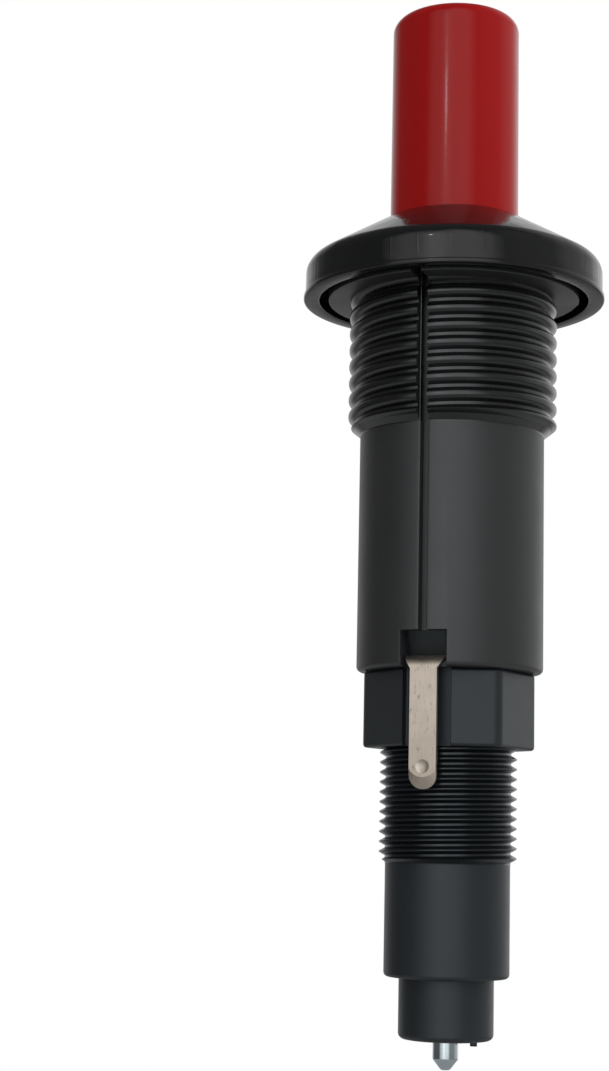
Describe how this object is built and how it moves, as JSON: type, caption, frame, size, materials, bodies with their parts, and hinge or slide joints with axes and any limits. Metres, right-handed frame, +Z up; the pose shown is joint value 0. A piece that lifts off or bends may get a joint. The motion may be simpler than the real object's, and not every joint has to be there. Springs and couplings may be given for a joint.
{
  "type": "piezo igniter",
  "caption": "Push-button piezo igniter: domed bezel over a threaded barrel, hexagonal lower housing with a fixing thread, blade earth tab and a pin that gives the spark.",
  "frame": {"origin": "centre of the seating plane, on the axis, under the bezel's rim", "axes": "+Z up the axis towards the button, -Y towards the earth tab, X along the hammer's cross pin"},
  "size_m": [0.0318, 0.0316, 0.111],
  "materials": {
    "red_plastic": "polished moulded plastic",
    "black_gloss_plastic": "glossy moulded plastic",
    "black_plastic": "satin glass-filled plastic",
    "white_plastic": "natural acetal",
    "clear_plastic": "natural film tube",
    "rubber": "soft rubber",
    "nickel": "nickel-plated brass, brushed",
    "zinc": "bright zinc plate",
    "steel": "turned steel",
    "spring_steel": "drawn wire",
    "brass": "plain brass",
    "ceramic": "fired ceramic with silvered ends"
  },
  "bodies": {
    "housing": {"bezel": "black_gloss_plastic", "barrel": "black_plastic", "stop_ring": "rubber", "lower_housing": "black_plastic", "ground_terminal": "nickel", "hv_pin": "zinc", "latch_sleeve": "white_plastic", "anvil": "steel", "piezo_element_upper": "ceramic", "centre_contact": "brass", "piezo_element_lower": "ceramic", "end_contact": "brass", "insulating_tube": "clear_plastic", "return_spring": "spring_steel", "contact_spring": "spring_steel"},
    "button": {"button": "red_plastic", "plunger": "white_plastic", "spring_guide": "white_plastic", "impact_spring": "spring_steel"},
    "hammer": {"hammer": "steel", "hammer_pin": "steel"}
  },
  "joints": [
    {"name": "button_press", "type": "slide", "parent": "housing", "child": "button", "axis": [0, 0, -1], "range_m": [0, 0.011], "stiffness_N_per_m": 400, "springref_m": -0.008, "deforming": ["return_spring", "impact_spring"]},
    {"name": "hammer_strike", "type": "slide", "parent": "housing", "child": "hammer", "axis": [0, 0, -1], "range_m": [0, 0.007]}
  ],
  "couplings": [
    {"joint": "hammer_strike", "follows": "button_press", "ratio": 0.6363}
  ]
}
